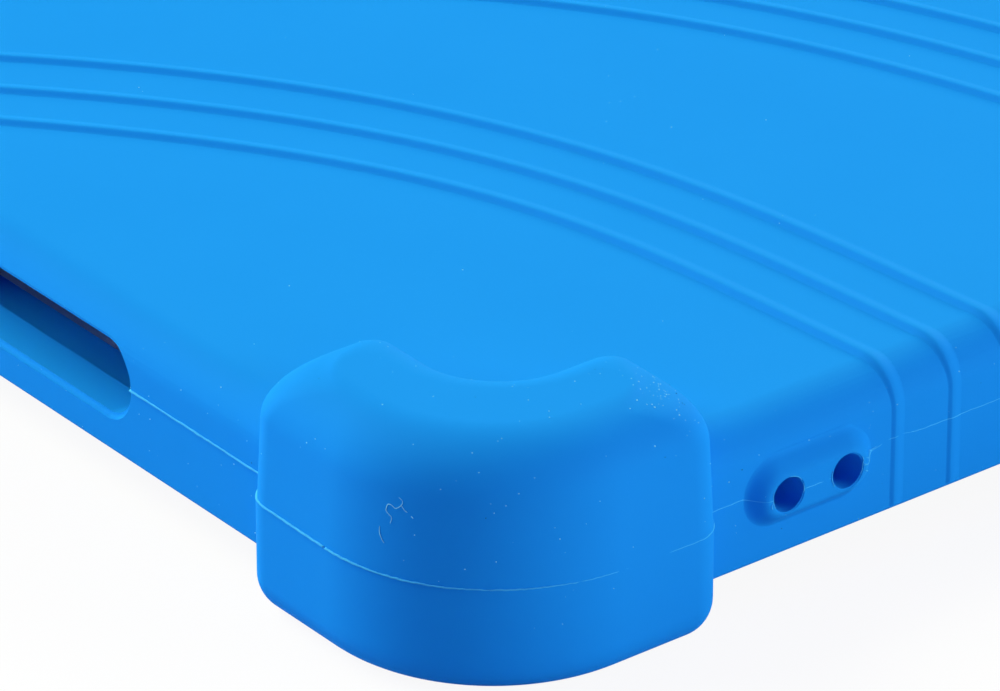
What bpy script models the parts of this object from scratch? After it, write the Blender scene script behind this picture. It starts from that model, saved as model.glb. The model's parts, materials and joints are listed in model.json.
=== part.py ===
# Protective sleeve for an eleven inch tablet, moulded in one piece of blue silicone rubber.
# Lengths are metres and +Z is up. The sleeve lies screen side down on its four corner bumpers,
# centred on the origin, with its long side along X. Its moulded back faces up.
# "West" is -X, "east" is +X, "south" is -Y and "north" is +Y.

import bpy
import bmesh
from math import atan, atan2, cos, pi, radians, sin
from mathutils import Vector

# The tablet that the sleeve is moulded for, and the room it gets
TABLET_LENGTH = 0.2550
TABLET_WIDTH = 0.1660
TABLET_THICKNESS = 0.0070
TABLET_CORNER = 0.0060
FIT = 0.0002

# The sleeve's walls
SIDE_WALL = 0.0030
BACK_WALL = 0.0018
FRONT_LIP = 0.0012
LIP_REACH = 0.0040
LIP_CORNER = 0.0050
LIP_EDGE_ROUND = 0.0005
BACK_EDGE_ROUND = 0.0029
FRONT_EDGE_ROUND = 0.0004

# The corner bumpers: an arm along each side, around a notch on the back
BUMPER_PROUD = 0.0023
BUMPER_RISE = 0.0048
BUMPER_DROP = 0.0026
LONG_ARM = 0.0189
SHORT_ARM = 0.0195
BACK_ARM_WIDTH = 0.0088
FRONT_ARM_WIDTH = 0.0062
BUMPER_CORNER = 0.0130
ARM_CORNER = 0.0026
NOTCH_CORNER = 0.0042
ARM_SOFT_CORNER = 0.0014
BUMPER_TOP_ROUND = 0.0038
BUMPER_FOOT_ROUND = 0.0026
BUMPER_TAPER = 0.0002
SEAM_HEIGHT = 0.0053

# The raised beads that sweep over the back in two groups and run down the south and west walls.
# Each group's first line is a cubic curve from the south wall to the west wall, given by its four
# control points from the south west corner of the walls. The next line's points are a step away.
BEAD_GROUPS = (
    {
        "line": ((0.0346, 0.0), (0.0316, 0.0256), (0.0345, 0.0399), (0.0, 0.0735)),
        "step": ((0.0047, 0.0), (0.0047, -0.0018), (0.0045, 0.0055), (0.0, 0.0055)),
    },
    {
        "line": ((0.0698, 0.0), (0.0612, 0.0539), (0.0447, 0.0631), (0.0, 0.0986)),
        "step": ((0.0048, 0.0), (0.0048, 0.0010), (0.0018, 0.0050), (0.0, 0.0050)),
    },
)
BEADS_IN_GROUP = 3
BEAD_RADIUS = 0.00055
BEAD_HEIGHT = 0.00035
BEAD_STATIONS = 34
BEAD_BEND_STATIONS = 4

# The raised oval with two microphone holes, on the south wall
MIC_FROM_CORNER = 0.0273
MIC_HEIGHT = 0.0048
MIC_OVAL = (0.0104, 0.0049)
MIC_OVAL_RAISE = 0.0005
MIC_OVAL_SLOPE = 0.00105
MIC_HOLE_DIAMETER = 0.0024
MIC_HOLE_SPACING = 0.0048

# The speaker slots, one near each end of the west and east walls
SLOT_FROM_CORNER = 0.0346
SLOT_SIZE = (0.0270, 0.0053)
SLOT_CORNER = 0.0025
SLOT_HEIGHT = 0.00535
SLOT_EDGE_ROUND = 0.0003

# The charging port opening in the middle of the east wall
PORT_SIZE = (0.0150, 0.0060)
PORT_CORNER = 0.0028
PORT_HEIGHT = 0.0049

# The raised button covers on the north wall, placed from the north east corner
BUTTON_COVERS = (
    {"from_corner": 0.0460, "length": 0.0240},
    {"from_corner": 0.0720, "length": 0.0120},
)
BUTTON_COVER_HEIGHT = 0.0046
BUTTON_COVER_WIDTH = 0.0046
BUTTON_COVER_RAISE = 0.0008
BUTTON_COVER_SLOPE = 0.0010

# The camera opening in the back, placed from the north and east walls, with its raised rim
CAMERA_FROM_EAST = 0.0240
CAMERA_FROM_NORTH = 0.0200
CAMERA_SIZE = (0.0220, 0.0120)
CAMERA_RIM_WIDTH = 0.0018
CAMERA_RIM_RAISE = 0.0008
CAMERA_RIM_SLOPE = 0.0009

# How finely the round stretches are divided
CORNER_STEPS = 8
SMALL_CORNER_STEPS = 4
NOTCH_CORNER_STEPS = 5
BACK_ROUND_STEPS = 5
BUMPER_TOP_STEPS = 6
BUMPER_FOOT_STEPS = 4
RAISED_ROUND_STEPS = 3
FLARE_STEPS = 3
FINE_ROUND_STEPS = 2
BEAD_RING_RESOLUTION = 1

# How far shapes reach into each other, and the limits that the shaping works within
OVERLAP = 0.0010
SMALLEST_CORNER = 0.0004
WELD_DISTANCE = 0.00001
SHARP_ANGLE = radians(40)
HALVINGS = 40

# The rubber, in linear colour
SILICONE_COLOUR = (0.012, 0.287, 0.838, 1.0)
SILICONE_ROUGHNESS = 0.5

# Sizes that follow from the ones above
CASE_LENGTH = TABLET_LENGTH + 2 * (FIT + SIDE_WALL)
CASE_WIDTH = TABLET_WIDTH + 2 * (FIT + SIDE_WALL)
CASE_CORNER = TABLET_CORNER + FIT + SIDE_WALL
WALL_HEIGHT = FRONT_LIP + TABLET_THICKNESS + BACK_WALL
FRONT_Z = BUMPER_DROP
BACK_Z = FRONT_Z + WALL_HEIGHT
POCKET_LENGTH = TABLET_LENGTH + 2 * FIT
POCKET_WIDTH = TABLET_WIDTH + 2 * FIT
WALL_CUT_DEPTH = SIDE_WALL + OVERLAP

# The turn of each wall about Z, from the south wall, and its distance from the centre
WALLS = {
    "south": (0.0, CASE_WIDTH / 2),
    "east": (pi / 2, CASE_LENGTH / 2),
    "north": (pi, CASE_WIDTH / 2),
    "west": (-pi / 2, CASE_LENGTH / 2),
}


def clear_scene():
    for leftover in list(bpy.data.objects):
        bpy.data.objects.remove(leftover, do_unlink=True)


def new_collection(name):
    collection = bpy.data.collections.new(name)
    bpy.context.scene.collection.children.link(collection)
    return collection


def silicone_material():
    material = bpy.data.materials.new("blue_silicone_rubber")
    material.use_nodes = True
    shader = material.node_tree.nodes["Principled BSDF"]
    shader.inputs["Base Color"].default_value = SILICONE_COLOUR
    shader.inputs["Roughness"].default_value = SILICONE_ROUGHNESS
    return material


def rectangle(length, width, corner):
    """Corners of a rectangle about the origin, each with its rounding radius."""
    x = length / 2
    y = width / 2
    return [(-x, -y, corner), (x, -y, corner), (x, y, corner), (-x, y, corner)]


def turn_at(corners, index):
    """Unit directions into and out of a corner, and the sine of the turn between them."""
    here = Vector(corners[index][:2])
    before = Vector(corners[index - 1][:2])
    after = Vector(corners[(index + 1) % len(corners)][:2])
    arriving = (here - before).normalized()
    leaving = (after - here).normalized()
    return here, arriving, leaving, arriving.cross(leaving)


def inset(corners, distance, smallest=SMALLEST_CORNER):
    """The same corners moved inward, with each radius following as a parallel curve does."""
    moved = []
    for index, corner in enumerate(corners):
        here, arriving, leaving, turn = turn_at(corners, index)
        inward = Vector((-arriving.y, arriving.x)) + Vector((-leaving.y, leaving.x))
        place = here + inward * distance / (1 + arriving.dot(leaving))
        radius = corner[2] - distance if turn > 0 else corner[2] + distance
        moved.append((place.x, place.y, max(radius, smallest)))
    return moved


def rounded_outline(corners, steps):
    """Points around a counter-clockwise outline of square corners, each turned into an arc."""
    points = []
    for index, corner in enumerate(corners):
        here, arriving, leaving, turn = turn_at(corners, index)
        radius = corner[2]
        side = 1 if turn > 0 else -1
        centre = here - arriving * radius + Vector((-arriving.y, arriving.x)) * radius * side
        spoke = here - arriving * radius - centre
        start = atan2(spoke.y, spoke.x)
        for step in range(steps[index] + 1):
            angle = start + side * (pi / 2) * step / steps[index]
            points.append((centre.x + radius * cos(angle), centre.y + radius * sin(angle)))
    return points


def loft(name, sections, collection):
    """A closed solid through outlines of equal point counts, each given with its height."""
    mesh = bpy.data.meshes.new(name)
    shape = bmesh.new()
    rings = [[shape.verts.new((x, y, z)) for x, y in outline] for outline, z in sections]
    for lower, upper in zip(rings, rings[1:]):
        for index in range(len(lower)):
            after = (index + 1) % len(lower)
            shape.faces.new((lower[index], lower[after], upper[after], upper[index]))
    shape.faces.new(list(reversed(rings[0])))
    shape.faces.new(rings[-1])
    bmesh.ops.remove_doubles(shape, verts=shape.verts, dist=WELD_DISTANCE)
    shape.to_mesh(mesh)
    shape.free()
    mesh.shade_smooth()
    mesh.set_sharp_from_angle(angle=SHARP_ANGLE)
    solid = bpy.data.objects.new(name, mesh)
    collection.objects.link(solid)
    return solid


def quarter_round(size, steps):
    """Inset and drop below the top for each level of a rounded edge, from its start upward."""
    levels = []
    for step in range(steps + 1):
        angle = (pi / 2) * step / steps
        levels.append((size * (1 - cos(angle)), size * (1 - sin(angle))))
    return levels


def plain_prism(name, corners, bottom, top, collection):
    outline = rounded_outline(corners, [CORNER_STEPS] * len(corners))
    return loft(name, [(outline, bottom), (outline, top)], collection)


def flared_cutter(name, corners, depth, edge_round, collection):
    """A cutter along +Z through a skin at z = 0, opening out to round the skin's edge."""
    corner_steps = [SMALL_CORNER_STEPS] * len(corners)
    plain = rounded_outline(corners, corner_steps)
    sections = [(plain, -depth)]
    for distance, drop in reversed(quarter_round(edge_round, FLARE_STEPS)):
        flare = rounded_outline(inset(corners, distance - edge_round), corner_steps)
        sections.append((flare, drop - edge_round))
    sections.append((rounded_outline(inset(corners, -edge_round), corner_steps), OVERLAP))
    return loft(name, sections, collection)


def stand_on_wall(solid, wall, along, height):
    """Turn a solid's +Z to face out of a wall, with its +X along the wall and +Y up."""
    turn, distance = WALLS[wall]
    solid.rotation_euler = (pi / 2, 0.0, turn)
    across = Vector((cos(turn), sin(turn), 0.0))
    outward = Vector((sin(turn), -cos(turn), 0.0))
    solid.location = across * along + outward * distance + Vector((0.0, 0.0, FRONT_Z + height))


def mirror_about_centre(solid, centre):
    """Repeat a solid in the other three quarters of the sleeve."""
    mirror = solid.modifiers.new("mirror", "MIRROR")
    mirror.use_axis = (True, True, False)
    mirror.mirror_object = centre
    mirror.use_mirror_merge = False
    mirror.merge_threshold = WELD_DISTANCE


def make_shell(collection):
    """The outside of the sleeve as one plain block, softly rounded at the back and finely in front."""
    outline = rectangle(CASE_LENGTH, CASE_WIDTH, CASE_CORNER)
    steps = [CORNER_STEPS] * len(outline)
    sections = []
    for distance, drop in reversed(quarter_round(FRONT_EDGE_ROUND, FINE_ROUND_STEPS)):
        sections.append((rounded_outline(inset(outline, distance), steps), FRONT_Z + drop))
    for distance, drop in quarter_round(BACK_EDGE_ROUND, BACK_ROUND_STEPS):
        sections.append((rounded_outline(inset(outline, distance), steps), BACK_Z - drop))
    return loft("silicone_case", sections, collection)


def bumper_corners(arm_width, distance):
    """The bumper's plan at one level, measured from the south west corner of the walls."""
    near = -BUMPER_PROUD
    corners = [
        (near, near, BUMPER_CORNER),
        (LONG_ARM, near, ARM_CORNER),
        (LONG_ARM, arm_width, ARM_CORNER),
        (arm_width, arm_width, NOTCH_CORNER),
        (arm_width, SHORT_ARM, ARM_CORNER),
        (near, SHORT_ARM, ARM_CORNER),
    ]
    origin = Vector((-CASE_LENGTH / 2, -CASE_WIDTH / 2))
    placed = [(x + origin.x, y + origin.y, radius) for x, y, radius in corners]
    return inset(placed, distance, ARM_SOFT_CORNER)


def make_bumpers(collection, centre):
    """A pillow of silicone wrapped around each corner, resting on its flat underside."""
    steps = [CORNER_STEPS, SMALL_CORNER_STEPS, SMALL_CORNER_STEPS, NOTCH_CORNER_STEPS,
             SMALL_CORNER_STEPS, SMALL_CORNER_STEPS]
    top = BACK_Z + BUMPER_RISE
    sections = []
    for distance, drop in reversed(quarter_round(BUMPER_FOOT_ROUND, BUMPER_FOOT_STEPS)):
        sections.append((rounded_outline(bumper_corners(FRONT_ARM_WIDTH, distance), steps), drop))
    seam = rounded_outline(bumper_corners(BACK_ARM_WIDTH, 0.0), steps)
    sections.append((seam, FRONT_Z + SEAM_HEIGHT))
    for distance, drop in quarter_round(BUMPER_TOP_ROUND, BUMPER_TOP_STEPS):
        corners = bumper_corners(BACK_ARM_WIDTH, BUMPER_TAPER + distance)
        sections.append((rounded_outline(corners, steps), top - drop))
    bumpers = loft("bumper_guide", sections, collection)
    mirror_about_centre(bumpers, centre)


def point_on_line(line, along):
    """A point on a cubic curve, from 0 at its first control point to 1 at its last."""
    back = 1 - along
    weights = (back ** 3, 3 * back ** 2 * along, 3 * back * along ** 2, along ** 3)
    x = sum(weight * point[0] for weight, point in zip(weights, line))
    y = sum(weight * point[1] for weight, point in zip(weights, line))
    return x, y


def meet_wall(line, axis, off):
    """Where a line is at a distance off the wall that it starts (axis 1) or ends (axis 0) on."""
    near = 1.0 if axis == 0 else 0.0
    far = 0.5
    for _ in range(HALVINGS):
        middle = (near + far) / 2
        if point_on_line(line, middle)[axis] < off:
            near = middle
        else:
            far = middle
    return far


def bead_path(line):
    """A bead's middle line: up the south wall, over the back and down the west wall."""
    sink = BEAD_RADIUS - BEAD_HEIGHT
    bend = BACK_EDGE_ROUND - sink
    edge = [(sink, FRONT_EDGE_ROUND)]
    for step in range(BEAD_BEND_STATIONS):
        angle = (pi / 2) * step / BEAD_BEND_STATIONS
        off = BACK_EDGE_ROUND - bend * cos(angle)
        edge.append((off, WALL_HEIGHT - BACK_EDGE_ROUND + bend * sin(angle)))
    path = []
    for off, height in edge:
        path.append((*point_on_line(line, meet_wall(line, 1, off)), height))
    start = meet_wall(line, 1, BACK_EDGE_ROUND)
    end = meet_wall(line, 0, BACK_EDGE_ROUND)
    for step in range(BEAD_STATIONS + 1):
        along = start + (end - start) * step / BEAD_STATIONS
        path.append((*point_on_line(line, along), WALL_HEIGHT - sink))
    for off, height in reversed(edge):
        path.append((*point_on_line(line, meet_wall(line, 0, off)), height))
    return path


def make_bead(name, path, collection):
    """A thin tube along a path from the south west corner, made into a welded mesh."""
    curve = bpy.data.curves.new(name, "CURVE")
    curve.dimensions = "3D"
    curve.bevel_depth = BEAD_RADIUS
    curve.bevel_resolution = BEAD_RING_RESOLUTION
    curve.use_fill_caps = True
    spline = curve.splines.new("POLY")
    spline.points.add(len(path) - 1)
    for point, (x, y, z) in zip(spline.points, path):
        point.co = (x - CASE_LENGTH / 2, y - CASE_WIDTH / 2, z + FRONT_Z, 1.0)
    tube = bpy.data.objects.new(name + "_line", curve)
    bpy.context.scene.collection.objects.link(tube)
    bpy.context.view_layer.update()
    mesh = bpy.data.meshes.new_from_object(tube.evaluated_get(bpy.context.evaluated_depsgraph_get()))
    bpy.data.objects.remove(tube, do_unlink=True)
    shape = bmesh.new()
    shape.from_mesh(mesh)
    bmesh.ops.remove_doubles(shape, verts=shape.verts, dist=WELD_DISTANCE)
    bmesh.ops.recalc_face_normals(shape, faces=shape.faces)
    shape.to_mesh(mesh)
    shape.free()
    bead = bpy.data.objects.new(name, mesh)
    collection.objects.link(bead)


def make_beads(collection):
    for group_index, group in enumerate(BEAD_GROUPS):
        for number in range(BEADS_IN_GROUP):
            line = []
            for point, step in zip(group["line"], group["step"]):
                line.append((point[0] + number * step[0], point[1] + number * step[1]))
            make_bead("bead_guide_%d_%d" % (group_index, number), bead_path(line), collection)


def soft_rise(rise, slope, steps):
    """Inset and height for each level of an arc that leaves a surface at an angle and ends level."""
    turn = 2 * atan(rise / slope)
    radius = slope / sin(turn)
    levels = []
    for step in range(steps + 1):
        angle = turn * (1 - step / steps)
        levels.append((radius * (sin(turn) - sin(angle)), radius * (cos(angle) - cos(turn))))
    return levels


def raised_oval(name, length, width, rise, slope, collection):
    """A soft-edged oval that stands a little proud of z = 0."""
    outline = rectangle(length, width, width / 2)
    corner_steps = [CORNER_STEPS] * len(outline)
    sections = [(rounded_outline(outline, corner_steps), -OVERLAP)]
    for distance, height in soft_rise(rise, slope, RAISED_ROUND_STEPS):
        sections.append((rounded_outline(inset(outline, distance), corner_steps), height))
    return loft(name, sections, collection)


def make_mic_oval(solids, cutters):
    along = MIC_FROM_CORNER - CASE_LENGTH / 2
    oval = raised_oval("mic_oval_guide", MIC_OVAL[0], MIC_OVAL[1], MIC_OVAL_RAISE, MIC_OVAL_SLOPE, solids)
    stand_on_wall(oval, "south", along, MIC_HEIGHT)
    outline = rectangle(MIC_HOLE_DIAMETER, MIC_HOLE_DIAMETER, MIC_HOLE_DIAMETER / 2)
    for side in (-1, 1):
        hole = plain_prism("mic_hole_cutter", outline, -WALL_CUT_DEPTH, MIC_OVAL_RAISE + OVERLAP, cutters)
        stand_on_wall(hole, "south", along + side * MIC_HOLE_SPACING / 2, MIC_HEIGHT)


def make_button_covers(solids):
    for cover in BUTTON_COVERS:
        oval = raised_oval("button_cover_guide", cover["length"], BUTTON_COVER_WIDTH,
                           BUTTON_COVER_RAISE, BUTTON_COVER_SLOPE, solids)
        stand_on_wall(oval, "north", cover["from_corner"] - CASE_LENGTH / 2, BUTTON_COVER_HEIGHT)


def make_speaker_slots(cutters, centre):
    outline = rectangle(SLOT_SIZE[0], SLOT_SIZE[1], SLOT_CORNER)
    slot = flared_cutter("speaker_slot_cutter", outline, WALL_CUT_DEPTH, SLOT_EDGE_ROUND, cutters)
    along = CASE_WIDTH / 2 - SLOT_FROM_CORNER - SLOT_SIZE[0] / 2
    stand_on_wall(slot, "west", along, SLOT_HEIGHT)
    mirror_about_centre(slot, centre)


def make_port_opening(cutters):
    outline = rectangle(PORT_SIZE[0], PORT_SIZE[1], PORT_CORNER)
    port = flared_cutter("port_cutter", outline, WALL_CUT_DEPTH, SLOT_EDGE_ROUND, cutters)
    stand_on_wall(port, "east", 0.0, PORT_HEIGHT)


def make_camera_opening(solids, cutters):
    """A raised rim on the back, and the oval opening inside it."""
    place = (CASE_LENGTH / 2 - CAMERA_FROM_EAST, CASE_WIDTH / 2 - CAMERA_FROM_NORTH)
    length = CAMERA_SIZE[0] + 2 * CAMERA_RIM_WIDTH
    width = CAMERA_SIZE[1] + 2 * CAMERA_RIM_WIDTH
    rim = raised_oval("camera_rim_guide", length, width, CAMERA_RIM_RAISE, CAMERA_RIM_SLOPE, solids)
    rim.location = (place[0], place[1], BACK_Z)
    outline = rectangle(CAMERA_SIZE[0], CAMERA_SIZE[1], CAMERA_SIZE[1] / 2)
    opening = plain_prism("camera_cutter", outline, -BACK_WALL - OVERLAP, CAMERA_RIM_RAISE + OVERLAP,
                          cutters)
    opening.location = (place[0], place[1], BACK_Z)


def make_pocket(cutters):
    """The space for the tablet, and the screen opening inside the front lip."""
    pocket = rectangle(POCKET_LENGTH, POCKET_WIDTH, TABLET_CORNER + FIT)
    plain_prism("pocket_cutter", pocket, FRONT_Z + FRONT_LIP, BACK_Z - BACK_WALL, cutters)
    window = rectangle(POCKET_LENGTH - 2 * LIP_REACH, POCKET_WIDTH - 2 * LIP_REACH, LIP_CORNER)
    steps = [CORNER_STEPS] * len(window)
    wide = rounded_outline(inset(window, -LIP_EDGE_ROUND), steps)
    sections = [(wide, -OVERLAP), (wide, FRONT_Z)]
    for distance, drop in quarter_round(LIP_EDGE_ROUND, FINE_ROUND_STEPS)[1:]:
        height = FRONT_Z + LIP_EDGE_ROUND - drop
        sections.append((rounded_outline(inset(window, distance - LIP_EDGE_ROUND), steps), height))
    plain = rounded_outline(window, steps)
    sections.append((plain, FRONT_Z + FRONT_LIP + TABLET_THICKNESS / 2))
    loft("window_cutter", sections, cutters)


def join_and_cut(case, solids, cutters):
    """Join what is moulded on, then cut the openings."""
    for name, operation, operands in (("join", "UNION", solids), ("cut", "DIFFERENCE", cutters)):
        boolean = case.modifiers.new(name, "BOOLEAN")
        boolean.operation = operation
        boolean.operand_type = "COLLECTION"
        boolean.collection = operands
        boolean.solver = "EXACT"
    for guide in list(solids.objects) + list(cutters.objects):
        guide.hide_render = True
        guide.display_type = "WIRE"


def main():
    clear_scene()
    parts = new_collection("tablet_sleeve")
    solids = new_collection("moulded_on_shapes")
    cutters = new_collection("cutters")
    centre = bpy.data.objects.new("centre", None)
    bpy.context.scene.collection.objects.link(centre)
    case = make_shell(parts)
    case.data.materials.append(silicone_material())
    make_bumpers(solids, centre)
    make_beads(solids)
    make_mic_oval(solids, cutters)
    make_button_covers(solids)
    make_camera_opening(solids, cutters)
    make_speaker_slots(cutters, centre)
    make_port_opening(cutters)
    make_pocket(cutters)
    join_and_cut(case, solids, cutters)


main()
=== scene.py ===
import json
import math
import random

import bmesh
import bpy
from mathutils import Matrix, Vector, noise
from mathutils.bvhtree import BVHTree

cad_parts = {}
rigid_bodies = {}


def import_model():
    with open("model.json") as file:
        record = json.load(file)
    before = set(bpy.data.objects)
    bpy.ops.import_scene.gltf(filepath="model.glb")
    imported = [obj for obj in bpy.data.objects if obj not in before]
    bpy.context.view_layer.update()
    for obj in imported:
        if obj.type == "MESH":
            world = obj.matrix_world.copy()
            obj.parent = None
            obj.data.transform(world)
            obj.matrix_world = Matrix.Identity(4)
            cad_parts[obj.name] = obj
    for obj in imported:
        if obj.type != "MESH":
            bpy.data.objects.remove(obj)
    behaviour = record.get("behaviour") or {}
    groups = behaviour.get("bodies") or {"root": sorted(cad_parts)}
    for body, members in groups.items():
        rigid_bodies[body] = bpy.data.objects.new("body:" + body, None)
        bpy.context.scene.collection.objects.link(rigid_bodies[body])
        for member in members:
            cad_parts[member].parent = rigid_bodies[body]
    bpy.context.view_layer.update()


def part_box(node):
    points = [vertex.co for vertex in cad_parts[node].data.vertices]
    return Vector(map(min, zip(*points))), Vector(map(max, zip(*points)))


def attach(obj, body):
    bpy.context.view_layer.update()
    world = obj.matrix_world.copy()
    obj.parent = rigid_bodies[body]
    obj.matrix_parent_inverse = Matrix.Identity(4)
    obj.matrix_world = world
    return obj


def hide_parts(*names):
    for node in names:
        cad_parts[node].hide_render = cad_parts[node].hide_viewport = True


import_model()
lowCorner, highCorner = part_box("silicone_case")
mm = 0.001  # the dictionaries give lengths in millimetres and angles in degrees; the meshes are in metres
weldDistance = 0.0001 * mm
smallestRadius = 0.3  # of a corner whose outline is drawn inward


# Colour and node helpers

def linearColor(hexText):
    channels = [int(hexText[i:i + 2], 16) / 255 for i in (1, 3, 5)]
    linear = [c / 12.92 if c <= 0.04045 else ((c + 0.055) / 1.055) ** 2.4 for c in channels]
    return (*linear, 1.0)


def addNode(tree, kind, settings=None, links=None):
    node = tree.nodes.new(kind)
    for name, value in (settings or {}).items():
        if hasattr(node, name):
            setattr(node, name, value)
        else:
            node.inputs[name].default_value = value
    for name, source in (links or {}).items():
        tree.links.new(source, node.inputs[name])
    return node


# Outlines and lofts

def rectangleCorners(length, width, radius):
    x, y = length / 2, width / 2
    return [(-x, -y, radius), (x, -y, radius), (x, y, radius), (-x, y, radius)]


def turnAt(corners, index):
    here = Vector(corners[index][:2])
    arriving = (here - Vector(corners[index - 1][:2])).normalized()
    leaving = (Vector(corners[(index + 1) % len(corners)][:2]) - here).normalized()
    return here, arriving, leaving, arriving.cross(leaving)


def insetCorners(corners, distance, smallest=smallestRadius):
    moved = []
    for index, corner in enumerate(corners):
        here, arriving, leaving, turn = turnAt(corners, index)
        inward = Vector((-arriving.y, arriving.x)) + Vector((-leaving.y, leaving.x))
        place = here + inward * distance / (1 + arriving.dot(leaving))
        radius = corner[2] - distance if turn > 0 else corner[2] + distance
        moved.append((place.x, place.y, max(radius, smallest)))
    return moved


def roundedOutline(corners, steps):
    points = []
    for index, corner in enumerate(corners):
        here, arriving, leaving, turn = turnAt(corners, index)
        radius, side = corner[2], (1 if turn > 0 else -1)
        centre = here - arriving * radius + Vector((-arriving.y, arriving.x)) * radius * side
        spoke = here - arriving * radius - centre
        start = math.atan2(spoke.y, spoke.x)
        for step in range(steps[index] + 1):
            angle = start + side * (math.pi / 2) * step / steps[index]
            points.append((centre.x + radius * math.cos(angle), centre.y + radius * math.sin(angle)))
    return points


def quarterRound(size, steps):
    # inset and drop below the top at each level, from the start of the rounding up
    angles = [(math.pi / 2) * step / steps for step in range(steps + 1)]
    return [(size * (1 - math.cos(a)), size * (1 - math.sin(a))) for a in angles]


def loftSections(name, sections):
    # sections are outlines in millimetres, each with its height
    shape = bmesh.new()
    rings = [[shape.verts.new((x * mm, y * mm, z * mm)) for x, y in outline] for outline, z in sections]
    for lower, upper in zip(rings, rings[1:]):
        for i in range(len(lower)):
            j = (i + 1) % len(lower)
            shape.faces.new((lower[i], lower[j], upper[j], upper[i]))
    shape.faces.new(list(reversed(rings[0])))
    shape.faces.new(rings[-1])
    bmesh.ops.remove_doubles(shape, verts=shape.verts, dist=weldDistance)
    return placeMesh(name, shape)


def placeMesh(name, shape):
    mesh = bpy.data.meshes.new(name)
    shape.to_mesh(mesh)
    shape.free()
    mesh.shade_smooth()
    piece = bpy.data.objects.new(name, mesh)
    bpy.context.scene.collection.objects.link(piece)
    return piece


def plainPrism(name, corners, bottom, top, steps):
    outline = roundedOutline(corners, [steps] * len(corners))
    return loftSections(name, [(outline, bottom), (outline, top)])


# The sleeve: one moulding of silicone rubber, drawn more finely than the solid that it stands for

sleeve = {
    "bumperProud": 2.3,
    "bumperDrop": 2.6,
    "wallHeight": 10.0,
    "cornerRadius": 9.2,
    "sideWall": 3.0,
    "backWall": 1.8,
    "frontLip": 1.2,
    "lipReach": 4.0,
    "lipCorner": 5.0,
    "lipEdgeRound": 0.5,
    "backEdgeRound": 2.9,
    "frontEdgeRound": 0.4,
    "pocketCorner": 6.2,
    "cornerSteps": 20,
    "backEdgeSteps": 12,
    "frontEdgeSteps": 5,
    "sharpAngle": 32.0,  # edges that turn more than this are shaded as edges
}
caseLength = (highCorner.x - lowCorner.x) / mm - 2 * sleeve["bumperProud"]
caseWidth = (highCorner.y - lowCorner.y) / mm - 2 * sleeve["bumperProud"]
bumperTop = highCorner.z / mm
frontZ = sleeve["bumperDrop"]
backZ = frontZ + sleeve["wallHeight"]
walls = {  # turn of each wall about Z, and its distance from the middle
    "south": (0.0, caseWidth / 2),
    "east": (math.pi / 2, caseLength / 2),
    "north": (math.pi, caseWidth / 2),
    "west": (-math.pi / 2, caseLength / 2),
}


def standOnWall(piece, wall, along, height):
    turn, distance = walls[wall]
    piece.rotation_euler = (math.pi / 2, 0.0, turn)
    across = Vector((math.cos(turn), math.sin(turn), 0.0))
    outward = Vector((math.sin(turn), -math.cos(turn), 0.0))
    piece.location = (across * along + outward * distance + Vector((0.0, 0.0, frontZ + height))) * mm


def makeShell():
    outline = rectangleCorners(caseLength, caseWidth, sleeve["cornerRadius"])
    steps = [sleeve["cornerSteps"]] * 4
    sections = []
    for inset, drop in reversed(quarterRound(sleeve["frontEdgeRound"], sleeve["frontEdgeSteps"])):
        sections.append((roundedOutline(insetCorners(outline, inset), steps), frontZ + drop))
    for inset, drop in quarterRound(sleeve["backEdgeRound"], sleeve["backEdgeSteps"]):
        sections.append((roundedOutline(insetCorners(outline, inset), steps), backZ - drop))
    return loftSections("sleeveBody", sections)


bumper = {
    "longArm": 19.05,
    "shortArm": 19.5,
    "backArmWidth": 8.8,
    "frontArmWidth": 6.2,
    "corner": 13.0,
    "armCorner": 2.6,
    "armSoftCorner": 1.4,
    "endSoftness": 0.8,  # how fast the arms' outer corners grow rounder towards the top
    "endRoom": 0.98,  # the share of the arm's width that such a corner may fill
    "notchCorner": 4.2,
    "topRound": 3.8,
    "footRound": 2.6,
    "taper": 0.2,
    "seamHeight": 5.3,  # of the mould's parting line, above the walls' lower edge
    "mouldStep": 0.16,  # the lower half of the mould stands this much longer at the arm's end
    "stepHeight": 0.12,
    "steps": [36, 14, 14, 16, 14, 14],
    "roundSteps": 16,
}


def bumperCorners(armWidth, inset, extra=0.0):
    # the bumper's plan, from its nose along the south wall, around the notch and back along the west wall
    near = -sleeve["bumperProud"]
    long, short = bumper["longArm"] + extra / 2, bumper["shortArm"] + extra
    plan = [
        (near, near, bumper["corner"]),
        (long, near, bumper["armCorner"]),
        (long, armWidth, bumper["armCorner"]),
        (armWidth, armWidth, bumper["notchCorner"]),
        (armWidth, short, bumper["armCorner"]),
        (near, short, bumper["armCorner"]),
    ]
    placed = [(x - caseLength / 2, y - caseWidth / 2, radius) for x, y, radius in plan]
    return insetCorners(placed, inset, bumper["armSoftCorner"])


def softenEnds(corners, inset):
    # rounder outer corners, as far as the arm's width leaves room for them
    corners = list(corners)
    for outer, inner in ((1, 2), (5, 4)):
        x, y, _ = corners[outer]
        room = (Vector((x, y)) - Vector(corners[inner][:2])).length - corners[inner][2]
        softened = bumper["armCorner"] + bumper["endSoftness"] * inset
        corners[outer] = (x, y, min(softened, bumper["endRoom"] * room))
    return corners


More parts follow.
